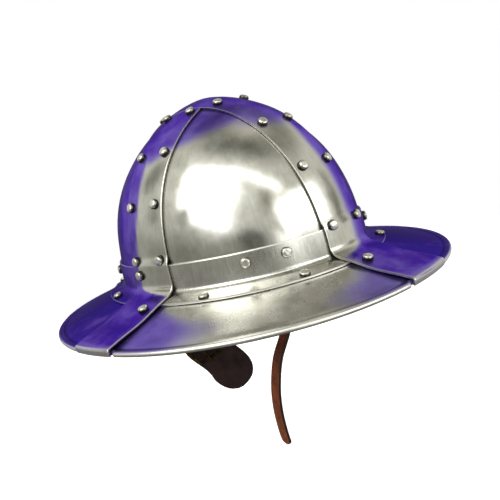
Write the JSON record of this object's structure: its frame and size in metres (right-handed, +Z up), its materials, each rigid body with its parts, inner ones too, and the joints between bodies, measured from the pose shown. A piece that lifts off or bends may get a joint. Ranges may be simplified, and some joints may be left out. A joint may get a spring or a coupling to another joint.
{
  "type": "kettle hat",
  "caption": "wide-brimmed open helmet of riveted steel plates under crossed strips, with an unfastened leather chin strap in two halves hanging below the rim",
  "frame": {"origin": "centre of the head opening, at the height where the skull turns outward into the brim", "axes": "+Z up through the crown, -Y to the front, +X to the wearer's left"},
  "size_m": [0.3264, 0.3586, 0.3314],
  "materials": {
    "polished_steel": "polished, with fine brush marks and a violet tint at the crown and in two opposite quarters",
    "rivet_steel": "peened and lightly polished",
    "red_brown_leather": "smooth strap leather with dark dyed edges",
    "dark_leather": "smooth, nearly black brown",
    "brass": "dull, slightly tarnished"
  },
  "bodies": {
    "root": {"skull_plate_front_right": "polished_steel", "skull_plate_front_left": "polished_steel", "skull_plate_rear_left": "polished_steel", "skull_plate_rear_right": "polished_steel", "brim_plate_front_right": "polished_steel", "brim_plate_front_left": "polished_steel", "brim_plate_rear_left": "polished_steel", "brim_plate_rear_right": "polished_steel", "brow_band_front_right": "polished_steel", "brow_band_front_left": "polished_steel", "brow_band_rear_left": "polished_steel", "brow_band_rear_right": "polished_steel", "fore_aft_band": "polished_steel", "side_band_left": "polished_steel", "side_band_right": "polished_steel", "front_rivet_1a": "rivet_steel", "front_rivet_1b": "rivet_steel", "front_rivet_2a": "rivet_steel", "front_rivet_2b": "rivet_steel", "front_rivet_3a": "rivet_steel", "front_rivet_3b": "rivet_steel", "front_rivet_4a": "rivet_steel", "front_rivet_4b": "rivet_steel", "left_rivet_1a": "rivet_steel", "left_rivet_1b": "rivet_steel", "left_rivet_2a": "rivet_steel", "left_rivet_2b": "rivet_steel", "left_rivet_3a": "rivet_steel", "left_rivet_3b": "rivet_steel", "left_rivet_4a": "rivet_steel", "left_rivet_4b": "rivet_steel", "back_rivet_1a": "rivet_steel", "back_rivet_1b": "rivet_steel", "back_rivet_2a": "rivet_steel", "back_rivet_2b": "rivet_steel", "back_rivet_3a": "rivet_steel", "back_rivet_3b": "rivet_steel", "back_rivet_4a": "rivet_steel", "back_rivet_4b": "rivet_steel", "right_rivet_1a": "rivet_steel", "right_rivet_1b": "rivet_steel", "right_rivet_2a": "rivet_steel", "right_rivet_2b": "rivet_steel", "right_rivet_3a": "rivet_steel", "right_rivet_3b": "rivet_steel", "right_rivet_4a": "rivet_steel", "right_rivet_4b": "rivet_steel", "front_rivet_brim": "rivet_steel", "left_rivet_brim": "rivet_steel", "back_rivet_brim": "rivet_steel", "right_rivet_brim": "rivet_steel", "chin_strap_rivet": "rivet_steel", "buckle_strap_rivet": "rivet_steel", "left_rivet_strap": "rivet_steel", "right_rivet_strap": "rivet_steel", "chin_strap": "red_brown_leather", "buckle_strap": "dark_leather", "buckle_tab": "dark_leather", "buckle_frame": "brass", "buckle_tongue": "brass"}
  },
  "joints": []
}
